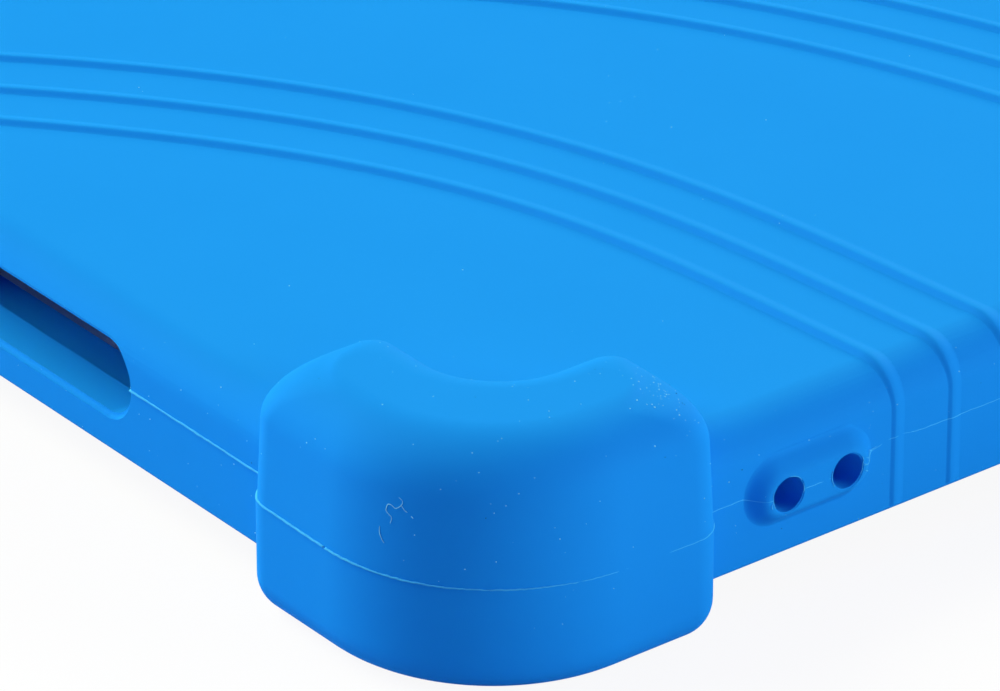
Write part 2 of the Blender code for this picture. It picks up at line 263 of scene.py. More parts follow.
def makeBumpers():
    steps, seam, extra = bumper["steps"], frontZ + bumper["seamHeight"], bumper["mouldStep"]
    sections = []
    for inset, drop in reversed(quarterRound(bumper["footRound"], bumper["roundSteps"])):
        sections.append((roundedOutline(bumperCorners(bumper["frontArmWidth"], inset, extra), steps), drop))
    below, above = seam - bumper["stepHeight"] / 2, seam + bumper["stepHeight"] / 2
    sections.append((roundedOutline(bumperCorners(bumper["backArmWidth"], 0.0, extra), steps), below))
    sections.append((roundedOutline(bumperCorners(bumper["backArmWidth"], 0.0), steps), above))
    for inset, drop in quarterRound(bumper["topRound"], bumper["roundSteps"]):
        plan = softenEnds(bumperCorners(bumper["backArmWidth"], bumper["taper"] + inset), inset)
        sections.append((roundedOutline(plan, steps), bumperTop - drop))
    guide = loftSections("bumperGuide", sections)
    mirrorAboutMiddle(guide)
    return guide


def mirrorAboutMiddle(piece):
    mirror = piece.modifiers.new("mirror", "MIRROR")
    mirror.use_axis = (True, True, False)
    mirror.mirror_object = middle
    mirror.use_mirror_merge = False


# Raised lines over the back: curves whose control points are measured from the walls' south west corner
ridge = {
    "groups": [  # the first line of each group, and the step from a line to the next
        {"line": [(34.6, 0), (31.6, 25.6), (34.5, 39.9), (0, 73.5)],
         "step": [(4.7, 0), (4.7, -1.8), (4.5, 5.5), (0, 5.5)]},
        {"line": [(69.8, 0), (61.2, 53.9), (44.7, 63.1), (0, 98.6)],
         "step": [(4.8, 0), (4.8, 1.0), (1.8, 5.0), (0, 5.0)]},
    ],
    "inGroup": 3,
    "height": 0.33,
    "cornerSide": 0.58,  # reach of the ridge's steep foot towards the corner
    "farSide": 1.35,
    "towardsCorner": 0.25,  # the crest lies this much off its line
    "wallWidth": 0.75, "wallHeight": 0.42,  # narrower and lower on the walls
    "crestPower": 1.1,  # above 1 draws the crest in and leaves wide soft feet
    "sink": 0.012,  # the feet run out this far under the surface
    "root": 0.25,
    "stations": 110,
    "bendStations": 12,
    "acrossSteps": 12,
    "halvings": 40,  # of the stretch in which a line meets a wall
}


def pointOnLine(line, along):
    # a cubic curve between the first and the last control point
    back = 1 - along
    weights = (back ** 3, 3 * back ** 2 * along, 3 * back * along ** 2, along ** 3)
    return tuple(sum(w * point[axis] for w, point in zip(weights, line)) for axis in (0, 1))


def meetWall(line, axis, off):
    # how far along the line it is this far off the west wall (axis 0) or the south wall (axis 1)
    near, far = (1.0 if axis == 0 else 0.0), 0.5
    for _ in range(ridge["halvings"]):
        half = (near + far) / 2
        if pointOnLine(line, half)[axis] < off:
            near = half
        else:
            far = half
    return far


def ridgePath(line):
    # up one wall, over the back and down the other: each point with the way out of the surface there,
    # and with a share that is 0 on a wall and 1 on the back
    edgeRound, height = sleeve["backEdgeRound"], sleeve["wallHeight"]
    edge = [(0.0, sleeve["frontEdgeRound"], 0.0), (0.0, height / 2, 0.0)]
    for step in range(ridge["bendStations"]):
        angle = (math.pi / 2) * step / ridge["bendStations"]
        edge.append((edgeRound * (1 - math.cos(angle)), height - edgeRound * (1 - math.sin(angle)), angle))
    path = []
    for off, z, angle in edge:
        out = Vector((0.0, -math.cos(angle), math.sin(angle)))
        path.append((Vector((*pointOnLine(line, meetWall(line, 1, off)), z)), out, math.sin(angle) ** 2))
    start, end = meetWall(line, 1, edgeRound), meetWall(line, 0, edgeRound)
    for step in range(ridge["stations"] + 1):
        along = start + (end - start) * step / ridge["stations"]
        path.append((Vector((*pointOnLine(line, along), height)), Vector((0.0, 0.0, 1.0)), 1.0))
    for off, z, angle in reversed(edge):
        out = Vector((-math.cos(angle), 0.0, math.sin(angle)))
        path.append((Vector((*pointOnLine(line, meetWall(line, 0, off)), z)), out, math.sin(angle) ** 2))
    return path


def ridgeProfile(onTop):
    # each point's distance across, away from the corner, and its height above the surface
    width = ridge["wallWidth"] + (1 - ridge["wallWidth"]) * onTop
    height = ridge["height"] * (ridge["wallHeight"] + (1 - ridge["wallHeight"]) * onTop)
    near, far, crest = ridge["cornerSide"] * width, ridge["farSide"] * width, ridge["towardsCorner"]
    profile = []
    for step in range(-ridge["acrossSteps"], ridge["acrossSteps"] + 1):
        share = step / ridge["acrossSteps"]
        rise = height * (0.5 + 0.5 * math.cos(math.pi * share)) ** ridge["crestPower"]
        profile.append((share * (near if step < 0 else far) - crest, rise - ridge["sink"]))
    return [(-near - crest, -ridge["root"])] + profile + [(far - crest, -ridge["root"])]


def makeRidges():
    pieces = []
    for group in ridge["groups"]:
        for number in range(ridge["inGroup"]):
            pieces.append(makeRidge([(point[0] + number * step[0], point[1] + number * step[1])
                                     for point, step in zip(group["line"], group["step"])]))
    return pieces


def makeRidge(line):
    corner = Vector((-caseLength / 2, -caseWidth / 2, frontZ))
    path = ridgePath(line)
    shape, rings = bmesh.new(), []
    for i, (point, out, onTop) in enumerate(path):
        tangent = path[min(i + 1, len(path) - 1)][0] - path[max(i - 1, 0)][0]
        across = tangent.cross(out).normalized()
        ring = [corner + point + across * u + out * h for u, h in ridgeProfile(onTop)]
        rings.append([shape.verts.new(place * mm) for place in ring])
    skinTube(shape, rings)
    return placeMesh("ridgeGuide", shape)


def skinTube(shape, rings):
    # joins equal rings into a closed solid
    for a, b in zip(rings, rings[1:]):
        for k in range(len(a)):
            shape.faces.new((a[k], a[(k + 1) % len(a)], b[(k + 1) % len(a)], b[k]))
    shape.faces.new(list(reversed(rings[0])))
    shape.faces.new(rings[-1])
    bmesh.ops.recalc_face_normals(shape, faces=shape.faces)


# Openings and the small raised shapes beside them. Heights are above the walls' lower edge
openings = {
    "overlap": 1.0,  # of the guides past the surface that they start from or cut
    "micFromCorner": 27.2, "micHeight": 4.89, "micOval": (10.7, 5.3), "micRaise": 1.1, "micSlope": 1.5,
    "micHole": 2.4, "micSpacing": 4.8, "micHoleRound": 0.09,
    "slotFromCorner": 34.6, "slotSize": (27.0, 5.3), "slotCorner": 2.5,
    "slotHeight": 5.35, "slotRound": 0.35,
    "portSize": (15.0, 6.0), "portCorner": 2.8, "portHeight": 4.9,
    "buttonCovers": [(46.0, 24.0), (72.0, 12.0)],  # from the north wall's east end, and long
    "buttonHeight": 4.6, "buttonWidth": 4.6, "buttonRaise": 0.8, "buttonSlope": 1.0,
    "cameraFromEast": 24.0, "cameraFromNorth": 20.0, "cameraSize": (22.0, 12.0),
    "cameraRimWidth": 1.8, "cameraRimRaise": 0.8, "cameraRimSlope": 0.9,
    "sink": 0.02,  # the swellings' edges start this far under the surface
    "ovalSteps": 24, "riseSteps": 16,
    "cutSteps": 16, "roundSteps": 6,
}


def raisedOval(length, width, rise, slope):
    # an oval swelling that runs softly out into the surface, its edge as wide as slope
    outline, steps = rectangleCorners(length, width, width / 2), [openings["ovalSteps"]] * 4
    sections = [(roundedOutline(outline, steps), -openings["overlap"])]
    levels = openings["riseSteps"]
    for level in range(levels + 1):
        height = rise * (0.5 - 0.5 * math.cos(math.pi * level / levels)) - openings["sink"]
        sections.append((roundedOutline(insetCorners(outline, slope * level / levels), steps), height))
    return loftSections("ovalGuide", sections)


def flaredCutter(corners, depth, edgeRound, skin=0.0):
    # a cutter along +Z that opens out to round the edge of the surface, which lies at the height of skin
    steps = [openings["cutSteps"]] * len(corners)
    sections = [(roundedOutline(corners, steps), -depth)]
    for inset, drop in reversed(quarterRound(edgeRound, openings["roundSteps"])):
        flare = roundedOutline(insetCorners(corners, inset - edgeRound), steps)
        sections.append((flare, skin + drop - edgeRound))
    wide = roundedOutline(insetCorners(corners, -edgeRound), steps)
    sections.append((wide, skin + openings["overlap"]))
    return loftSections("cutGuide", sections)


def makeRaisedShapes():
    shapes = []
    micOval = raisedOval(*openings["micOval"], openings["micRaise"], openings["micSlope"])
    standOnWall(micOval, "south", openings["micFromCorner"] - caseLength / 2, openings["micHeight"])
    shapes.append(micOval)
    for fromCorner, length in openings["buttonCovers"]:
        cover = raisedOval(length, openings["buttonWidth"], openings["buttonRaise"], openings["buttonSlope"])
        standOnWall(cover, "north", fromCorner - caseLength / 2, openings["buttonHeight"])
        shapes.append(cover)
    rimWidth = 2 * openings["cameraRimWidth"]
    rim = raisedOval(openings["cameraSize"][0] + rimWidth, openings["cameraSize"][1] + rimWidth,
                     openings["cameraRimRaise"], openings["cameraRimSlope"])
    rim.location = cameraPlace()
    shapes.append(rim)
    return shapes


def cameraPlace():
    return (Vector((caseLength / 2 - openings["cameraFromEast"],
                    caseWidth / 2 - openings["cameraFromNorth"], backZ)) * mm)


def makeCutters():
    cutters = []
    depth = sleeve["sideWall"] + openings["overlap"]
    hole = rectangleCorners(openings["micHole"], openings["micHole"], openings["micHole"] / 2)
    for side in (-1, 1):
        cutter = flaredCutter(hole, depth, openings["micHoleRound"], openings["micRaise"])
        along = openings["micFromCorner"] + side * openings["micSpacing"] / 2 - caseLength / 2
        standOnWall(cutter, "south", along, openings["micHeight"])
        cutters.append(cutter)
    slot = flaredCutter(rectangleCorners(*openings["slotSize"], openings["slotCorner"]), depth,
                        openings["slotRound"])
    slotMiddle = caseWidth / 2 - openings["slotFromCorner"] - openings["slotSize"][0] / 2
    standOnWall(slot, "west", slotMiddle, openings["slotHeight"])
    mirrorAboutMiddle(slot)
    cutters.append(slot)
    port = flaredCutter(rectangleCorners(*openings["portSize"], openings["portCorner"]), depth,
                        openings["slotRound"])
    standOnWall(port, "east", 0.0, openings["portHeight"])
    cutters.append(port)
    cameraCorners = rectangleCorners(*openings["cameraSize"], openings["cameraSize"][1] / 2)
    cameraCut = flaredCutter(cameraCorners, sleeve["backWall"] + openings["overlap"], openings["slotRound"],
                             openings["cameraRimRaise"])
    cameraCut.location = cameraPlace()
    cutters.append(cameraCut)
    inner = 2 * sleeve["sideWall"]
    pocketCorners = rectangleCorners(caseLength - inner, caseWidth - inner, sleeve["pocketCorner"])
    cutters.append(plainPrism("pocketGuide", pocketCorners, frontZ + sleeve["frontLip"],
                              backZ - sleeve["backWall"], sleeve["cornerSteps"]))
    cutters.append(makeWindowCutter(inner + 2 * sleeve["lipReach"]))
    return cutters


def makeWindowCutter(inner):
    corners = rectangleCorners(caseLength - inner, caseWidth - inner, sleeve["lipCorner"])
    steps, edgeRound = [sleeve["cornerSteps"]] * 4, sleeve["lipEdgeRound"]
    wide = roundedOutline(insetCorners(corners, -edgeRound), steps)
    sections = [(wide, -openings["overlap"])]
    for inset, drop in quarterRound(edgeRound, openings["roundSteps"]):
        flare = roundedOutline(insetCorners(corners, inset - edgeRound), steps)
        sections.append((flare, frontZ + edgeRound - drop))
    sections.append((roundedOutline(corners, steps), frontZ + sleeve["wallHeight"] / 2))
    return loftSections("windowGuide", sections)


def collect(name, pieces):
    group = bpy.data.collections.new(name)
    bpy.context.scene.collection.children.link(group)
    for piece in pieces:
        for holder in list(piece.users_collection):
            holder.objects.unlink(piece)
        group.objects.link(piece)
    return group


def makeSleeve():
    body = makeShell()
    groups = [
        ("UNION", collect("mouldedOnGuides", [makeBumpers()] + makeRidges() + makeRaisedShapes())),
        ("DIFFERENCE", collect("cutGuides", makeCutters())),
    ]
    for operation, group in groups:
        boolean = body.modifiers.new(operation.lower(), "BOOLEAN")
        boolean.operation = operation
        boolean.operand_type = "COLLECTION"
        boolean.collection = group
        boolean.solver = "EXACT"
    bpy.context.view_layer.update()
    mesh = bpy.data.meshes.new_from_object(body.evaluated_get(bpy.context.evaluated_depsgraph_get()))
    for _, group in groups:
        for guide in list(group.objects):
            bpy.data.objects.remove(guide, do_unlink=True)
        bpy.data.collections.remove(group)
    body.modifiers.clear()
    body.data = mesh
    mesh.shade_smooth()
    mesh.set_sharp_from_angle(angle=math.radians(sleeve["sharpAngle"]))
    weighted = body.modifiers.new("faceWeighted", "WEIGHTED_NORMAL")
    weighted.keep_sharp = True
    return body


middle = bpy.data.objects.new("middle", None)
bpy.context.scene.collection.objects.link(middle)
sleeveBody = makeSleeve()
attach(sleeveBody, "root")
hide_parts("silicone_case")
print("sleeve moulded:", len(sleeveBody.data.polygons), "faces")


# The parting line: a thin fin of rubber that the mould's two halves leave all the way round

flash = {
    "longWallDrop": 0.28,  # from the bumpers' seam
    "shortWallRise": 0.15,
    "bend": 20.0,  # the stretch over which the line goes from one height to the other
    "dip": 0.13,  # where the line drops to the small holes
    "dipFrom": 21.5, "dipTo": 32.0, "dipEase": 1.6,
    "lift": 0.28, "liftAt": 34.5, "liftReach": 1.3,  # where it strays up beside the first ridge
    "spacing": 0.16,
    "guideOff": 8.0,
    "guideSteps": 180,
    "reach": 9.6,
    "width": 0.10,
    "height": 0.16,
    "root": 0.05,
    "rootWidth": 1.6,  # the root's width over the fin's
    "thinnest": 0.3,  # share of the width that is left where the fin is broken
    "jump": 1.3,  # a greater change of depth than this ends a run
    "fewest": 6,  # a run of no more points than this is left out
    "neighbours": 2,  # so many points each way give the seam's direction
    "wander": 0.05,
    "jitter": 0.035,
    "noises": {  # the length of each noise's waves, and the line that it runs along
        "wander": (9.0, 7.0, 0.0),
        "jitter": (0.5, 5.3, 7.0),
        "ragged": (0.7, 3.1, 7.0),
        "slow": (4.0, 8.7, 7.0),
    },
    "wornOver": 14.0,  # the stretch over which the fin goes from whole to worn
    "standing": {  # what goes into the fin's height on the short walls, and what a long wall adds to it
        "mean": (0.95, -0.6), "ragged": (0.15, 0.4), "slow": (0.2, 0.9), "most": (1.5, -1.25),
    },
    "least": -0.5,
}


def guideLoop():
    # a rounded outline clear of the bumpers, from which the sleeve is felt for at the seam's height
    radius = bumper["corner"] - sleeve["bumperProud"] + flash["guideOff"]
    corners = rectangleCorners(caseLength + 2 * flash["guideOff"], caseWidth + 2 * flash["guideOff"], radius)
    outline = [Vector(point) for point in roundedOutline(corners, [flash["guideSteps"]] * 4)]
    samples = []
    for i, start in enumerate(outline):
        end = outline[(i + 1) % len(outline)]
        count = max(1, round((end - start).length / flash["spacing"]))
        direction = (end - start).normalized()
        inward = Vector((-direction.y, direction.x))
        samples += [(start + (end - start) * k / count, inward) for k in range(count)]
    return samples


def easeIn(value):
    value = min(max(value, 0.0), 1.0)
    return value * value * (3 - 2 * value)


def seamNoise(name, travelled):
    length, row, layer = flash["noises"][name]
    return noise.noise(Vector((travelled / length, row, layer)))


def seamHeight(place):
    alongX, alongY = caseLength / 2 - abs(place.x), caseWidth / 2 - abs(place.y)
    height = bumper["seamHeight"] - flash["longWallDrop"] * easeIn(alongX / flash["bend"])
    height += flash["shortWallRise"] * easeIn(alongY / flash["bend"])
    if place.y < 0:
        along = place.x + caseLength / 2
        height -= flash["dip"] * (easeIn((along - flash["dipFrom"]) / flash["dipEase"])
                                  - easeIn((along - flash["dipTo"]) / flash["dipEase"]))
        height += flash["lift"] * math.exp(-((along - flash["liftAt"]) / flash["liftReach"]) ** 2)
    return height


def seamRuns(surface):
    # the stretches of seam that lie on the sleeve: each point with its way along the guide and its depth
    runs, run, travelled, last = [], [], 0.0, None
    for place, inward in guideLoop():
        travelled += (place - last).length if last is not None else 0.0
        last = place
        height = frontZ + seamHeight(place)
        for name in ("wander", "jitter"):
            height += flash[name] * seamNoise(name, travelled)
        origin = Vector((place.x, place.y, height)) * mm
        farthest = flash["guideOff"] * mm + flash["reach"] * mm
        hit = surface.ray_cast(origin, Vector((inward.x, inward.y, 0.0)), farthest)
        depth = hit[3] / mm if hit[0] is not None else math.inf
        onSurface = depth < flash["reach"]
        if run and (not onSurface or abs(depth - run[-1][2]) > flash["jump"]):
            runs.append(run)
            run = []
        if onSurface:
            run.append((hit[0] / mm, travelled, depth))
    runs.append(run)
    return [run for run in runs if len(run) > flash["fewest"]]


def finHeight(point, travelled):
    # whole along the short walls, and more and more broken along the long ones
    worn = easeIn((caseLength / 2 + flash["guideOff"] / 2 - abs(point.x)) / flash["wornOver"])
    mean, ragged, slow, most = (whole + change * worn for whole, change in flash["standing"].values())
    share = mean + ragged * seamNoise("ragged", travelled) + slow * seamNoise("slow", travelled)
    return flash["height"] * min(max(flash["least"], share), most)


def makeFlash():
    probe = bmesh.new()
    probe.from_mesh(sleeveBody.data)
    surface = BVHTree.FromBMesh(probe)
    probe.free()
    shape = bmesh.new()
    for run in seamRuns(surface):
        rings = []
        for i, (point, travelled, _) in enumerate(run):
            after, before = min(i + flash["neighbours"], len(run) - 1), max(i - flash["neighbours"], 0)
            along = run[after][0] - run[before][0]
            outward = Vector((along.y, -along.x, 0.0)).normalized()
            rise = finHeight(point, travelled)
            whole = min(max(rise / flash["height"], 0.0), 1.0)
            half = flash["width"] / 2 * (flash["thinnest"] + (1 - flash["thinnest"]) * whole)
            up = Vector((0.0, 0.0, half * flash["rootWidth"]))
            root = point - outward * flash["root"]
            corners = (point + outward * rise, root + up, root - up)
            rings.append([shape.verts.new(corner * mm) for corner in corners])
        skinTube(shape, rings)
    return placeMesh("partingFlash", shape), surface


partingFlash, sleeveSurface = makeFlash()
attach(partingFlash, "root")
print("parting flash:", len(partingFlash.data.polygons), "faces")


# Fine dust, a curl of lint on the bumper's nose, and threads of rubber torn at the small holes

dirt = {
    "seed": 11,
    "speckRadius": (0.022, 0.062),
    "speckShape": (0.6, 1.0),  # how much smaller and narrower than that a speck may be
    "flatness": 0.6,
    "feel": 80.0,  # the length of the line along which the surface is felt for
    "onEachBumper": 75,
    "bumperMiddle": 9.0, "bumperHeight": 8.0,  # the middle that the specks fall towards, with its spread
    "bumperSpread": (-7.0, 7.0), "bumperSpreadUp": (-4.0, 5.0), "bumperFrom": 40.0,
    "bumperTurn": (-1.9, 1.9), "bumperRise": (-0.05, 1.3),  # radians around it and up
    "inPatch": 75,
    "patchPlace": (15.8, 2.0, 15.8), "patchSpread": (1.2, 2.0, 0.7),  # from the corner, and above the table
    "patchFrom": (6.0, -14.0, 20.0),
    "onWalls": 60,
    "wallFrom": 10.0, "alongWall": (18.0, 70.0), "upWall": (3.0, 13.0), "wallFall": 0.05,
    "onBack": 30,
    "backFrom": 40.0, "acrossBack": (3.0, 70.0),
    "dark": 0.06,
    "lineParts": 6,  # between each two points of a thread
    "threadSides": 6,
    "threadLift": 0.6,  # of its half width: how far a thread's middle stands off the surface
    "threadEnd": 0.08, "threadTaper": 0.5,  # its width follows a sine that starts this far in, to this power
    "threadUneven": 0.35, "threadLumps": 3.0,  # lumps to a millimetre
    "noseTurn": 203.2, "noseHeight": 12.5, "noseFrom": 30.0,
    "lintWidth": 0.04,
    "lint": [  # along the nose and up it
        [(0.51, 0.99), (0.76, 0.8), (0.68, 0.48), (0.31, 0.2), (0.0, 0.35), (-0.25, 0.32), (-0.37, -0.09),
         (-0.17, -0.33), (0.03, -0.51), (-0.07, -0.92)],
        [(0.68, 0.48), (0.94, 0.19), (1.11, 0.1)],
        [(1.36, -0.1), (1.5, -0.23)],
        [(-0.82, -1.33), (-0.82, -1.76), (-0.68, -2.11), (-0.48, -2.41)],
    ],
    "tearWidth": 0.07, "tearFrom": 8.0,
    "deepest": 0.1,  # a thread that would lie deeper than this in the wall spans the hole instead,
    "bridgeUnder": 0.02,  # this far under the oval's face
    "tears": [  # along the south wall from the corner, and above its foot
        [(23.56, 5.54), (23.50, 5.19), (23.56, 4.84), (23.62, 4.54), (23.74, 4.24)],
        [(23.52, 4.79), (23.40, 4.54), (23.50, 4.29)],
        [(24.85, 6.11), (25.25, 6.07), (25.60, 5.89), (25.85, 5.59)],
        [(26.00, 5.29), (26.06, 4.89), (26.00, 4.59)],
        [(28.32, 5.39), (28.26, 4.99), (28.32, 4.59), (28.50, 4.19)],
        [(30.76, 5.59), (30.85, 5.19), (30.80, 4.79), (30.60, 4.39)],
        [(30.90, 4.99), (31.25, 4.84), (31.50, 5.04), (31.85, 4.99)],
        [(31.10, 5.39), (31.40, 5.19), (31.80, 5.34), (32.30, 5.04), (32.80, 5.11)],
        [(31.00, 4.49), (31.30, 4.29), (31.45, 4.09)],
    ],
}


def feelSurface(origin, direction):
    place, normal, _, _ = sleeveSurface.ray_cast(origin * mm, direction.normalized(), dirt["feel"] * mm)
    return (None, None) if place is None else (place / mm, normal)


def specksOnBumper(chance, x, y):
    inward = dirt["bumperMiddle"]
    nose = Vector((x * (caseLength / 2 - inward), y * (caseWidth / 2 - inward), dirt["bumperHeight"]))
    for _ in range(dirt["onEachBumper"]):
        turn = math.atan2(y, x) + chance.uniform(*dirt["bumperTurn"])
        rise = chance.uniform(*dirt["bumperRise"])
        way = Vector((math.cos(rise) * math.cos(turn), math.cos(rise) * math.sin(turn), math.sin(rise)))
        ranges = (dirt["bumperSpread"], dirt["bumperSpread"], dirt["bumperSpreadUp"])
        aim = nose + Vector([chance.uniform(*span) for span in ranges])
        yield aim + way * dirt["bumperFrom"], -way


def speckPlaces(chance):
    # where each speck's line starts, and which way it runs
    for x in (-1, 1):
        for y in (-1, 1):
            yield from specksOnBumper(chance, x, y)
    corner = Vector((-caseLength / 2, -caseWidth / 2, 0.0))
    patchFrom = Vector(dirt["patchFrom"])
    for _ in range(dirt["inPatch"]):
        aim = Vector([chance.gauss(*values) for values in zip(dirt["patchPlace"], dirt["patchSpread"])])
        yield corner + aim + patchFrom, -patchFrom
    off, fall = dirt["wallFrom"], dirt["wallFall"]
    for _ in range(dirt["onWalls"]):
        along = chance.uniform(*dirt["alongWall"])
        yield corner + Vector((along, -off, chance.uniform(*dirt["upWall"]))), Vector((0, 1, -fall))
        yield corner + Vector((-off, along, chance.uniform(*dirt["upWall"]))), Vector((1, 0, -fall))
    for _ in range(dirt["onBack"]):
        x, y = (chance.uniform(*dirt["acrossBack"]) for _ in range(2))
        yield corner + Vector((x, y, dirt["backFrom"])), Vector((0, 0, -1))


def makeDust():
    chance = random.Random(dirt["seed"])
    shape = bmesh.new()
    for origin, way in speckPlaces(chance):
        place, normal = feelSurface(origin, way)
        radius = chance.uniform(*dirt["speckRadius"]) * chance.uniform(*dirt["speckShape"])
        dark = chance.random() < dirt["dark"]
        if place is None:
            continue
        turn = normal.to_track_quat("Z", "Y").to_matrix().to_4x4()
        breadth = radius * chance.uniform(*dirt["speckShape"])
        size = Matrix.Diagonal((radius * mm, breadth * mm, radius * dirt["flatness"] * mm, 1.0))
        made = bmesh.ops.create_icosphere(shape, subdivisions=1, radius=1.0,
                                          matrix=Matrix.Translation(place * mm) @ turn @ size)
        for face in {face for corner in made["verts"] for face in corner.link_faces}:
            face.material_index = 1 if dark else 0
    return placeMesh("settledDust", shape)


def smoothLine(points):
    # a Catmull-Rom curve through the points
    parts = dirt["lineParts"]
    ends = [points[0], *points, points[-1]]
    line = []
    for a, b, c, d in zip(ends, ends[1:], ends[2:], ends[3:]):
        for part in range(parts):
            t = part / parts
            line.append(tuple(0.5 * (2 * q + (r - p) * t + (2 * p - 5 * q + 4 * r - s) * t ** 2
                                     + (3 * q - p - 3 * r + s) * t ** 3) for p, q, r, s in zip(a, b, c, d)))
    return line + [points[-1]]


def layThread(shape, places, width):
    # a thread with thin ends along places on the surface, each with the way out of it
    rings = []
    for i, (place, normal) in enumerate(places):
        along = (places[min(i + 1, len(places) - 1)][0] - places[max(i - 1, 0)][0]).normalized()
        side = along.cross(normal).normalized()
        whole = dirt["threadEnd"] + (1 - 2 * dirt["threadEnd"]) * i / (len(places) - 1)
        lumps = 1 + dirt["threadUneven"] * noise.noise(place * dirt["threadLumps"])
        half = width / 2 * math.sin(math.pi * whole) ** dirt["threadTaper"] * lumps
        turns = [math.pi * 2 * k / dirt["threadSides"] for k in range(dirt["threadSides"])]
        ring = [side * math.cos(turn) + normal * (dirt["threadLift"] + math.sin(turn)) for turn in turns]
        rings.append([shape.verts.new((place + offset * half) * mm) for offset in ring])
    skinTube(shape, rings)


def makeLint():
    shape = bmesh.new()
    inward = bumper["corner"] - sleeve["bumperProud"]
    centre = Vector((-caseLength / 2 + inward, -caseWidth / 2 + inward, 0.0))
    for points in dirt["lint"]:
        places = []
        for across, up in smoothLine(points):
            angle = math.radians(dirt["noseTurn"]) + across / bumper["corner"]
            out = Vector((math.cos(angle), math.sin(angle), 0.0))
            start = centre + out * dirt["noseFrom"] + Vector((0, 0, dirt["noseHeight"] + up))
            places.append(feelSurface(start, -out))
        layThread(shape, places, dirt["lintWidth"])
    return placeMesh("curledLint", shape)


def makeTears():
    # on the wall and the oval beside the small holes, and across the holes themselves
    shape = bmesh.new()
    wall = -caseWidth / 2
    ovalFace = wall - openings["micRaise"]
    for points in dirt["tears"]:
        places = []
        for across, up in smoothLine(points):
            x, z = across - caseLength / 2, frontZ + up
            place, normal = feelSurface(Vector((x, wall - dirt["tearFrom"], z)), Vector((0, 1, 0)))
            if place is None or place.y > wall + dirt["deepest"]:
                place, normal = Vector((x, ovalFace + dirt["bridgeUnder"], z)), Vector((0, -1, 0))
            places.append((place, normal))
        layThread(shape, places, dirt["tearWidth"])
    return placeMesh("tornThreads", shape)


settledDust, curledLint, tornThreads = makeDust(), makeLint(), makeTears()
for piece in (settledDust, curledLint, tornThreads):
    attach(piece, "root")
print("dust, lint and torn threads laid:", len(settledDust.data.polygons), "faces of dust")


# Materials

silicone = {
    "paleColor": "#1b97ef",
    "deepColor": "#1793eb",
    "flashColor": "#48c2fa",
    "dustColor": "#98f0fc",
    "gritColor": "#0b2c5e",
    "roughness": 0.68,
    "roughnessSpread": 0.05,
    "flashRoughness": 0.5,
    "dustRoughness": 0.8,
    "ior": 1.41,
    "specular": 0.03,
    "mottle": (14.0, 3.0),  # each noise's size, and its detail
    "waves": (5.0, 2.0), "waveDepth": 0.02,
    "grain": (0.16, 2.0), "grainDepth": 0.004,
}


def surfaceNoise(tree, place, name):
    size, detail = silicone[name]
    settings = {"Scale": 1 / (size * mm), "Detail": detail}
    return addNode(tree, "ShaderNodeTexNoise", settings, {"Vector": place}).outputs["Fac"]


def makeSilicone():
    # moulded silicone rubber: a soft satin, nearly matt, with a very fine grain from the blasted mould
    material = bpy.data.materials.new("mouldedSiliconeRubber")
    material.use_nodes = True
    tree = material.node_tree
    shader = tree.nodes["Principled BSDF"]
    place = addNode(tree, "ShaderNodeTexCoord").outputs["Object"]
    mottle, waves, grain = (surfaceNoise(tree, place, name) for name in ("mottle", "waves", "grain"))
    tint = addNode(tree, "ShaderNodeMixRGB", {"Color1": linearColor(silicone["deepColor"]),
                                              "Color2": linearColor(silicone["paleColor"])},
                   {"Fac": mottle})
    tree.links.new(tint.outputs["Color"], shader.inputs["Base Color"])
    gloss = addNode(tree, "ShaderNodeMapRange",
                    {"To Min": silicone["roughness"] - silicone["roughnessSpread"],
                     "To Max": silicone["roughness"] + silicone["roughnessSpread"]}, {"Value": grain})
    tree.links.new(gloss.outputs["Result"], shader.inputs["Roughness"])
    wavy = addNode(tree, "ShaderNodeBump", {"Strength": 1.0, "Distance": silicone["waveDepth"] * mm},
                   {"Height": waves})
    grainy = addNode(tree, "ShaderNodeBump", {"Strength": 1.0, "Distance": silicone["grainDepth"] * mm},
                     {"Height": grain, "Normal": wavy.outputs["Normal"]})
    tree.links.new(grainy.outputs["Normal"], shader.inputs["Normal"])
    shader.inputs["IOR"].default_value = silicone["ior"]
    shader.inputs["Specular IOR Level"].default_value = silicone["specular"]
    return material


def makePlain(name, color, roughness):
    material = bpy.data.materials.new(name)
    material.use_nodes = True
    shader = material.node_tree.nodes["Principled BSDF"]
    shader.inputs["Base Color"].default_value = linearColor(color)
    shader.inputs["Roughness"].default_value = roughness
    shader.inputs["IOR"].default_value = silicone["ior"]
    shader.inputs["Specular IOR Level"].default_value = silicone["specular"]
    return material


sleeveBody.data.materials.clear()
sleeveBody.data.materials.append(makeSilicone())
# so thin that light comes through, which makes flash and torn threads paler than the body
thinRubber = makePlain("thinSiliconeFlash", silicone["flashColor"], silicone["flashRoughness"])
partingFlash.data.materials.append(thinRubber)
tornThreads.data.materials.append(thinRubber)
# dry, bright points and a fibre, and a few dull dark grains
paleDust = makePlain("paleSettledDust", silicone["dustColor"], silicone["dustRoughness"])
darkGrit = makePlain("darkGrit", silicone["gritColor"], silicone["dustRoughness"])
curledLint.data.materials.append(paleDust)
settledDust.data.materials.append(paleDust)
settledDust.data.materials.append(darkGrit)


# Studio: a pale floor, warm lamps high at the back, nearly plain ones on the right, a bluish one low at the
# back, and blue fill from all round

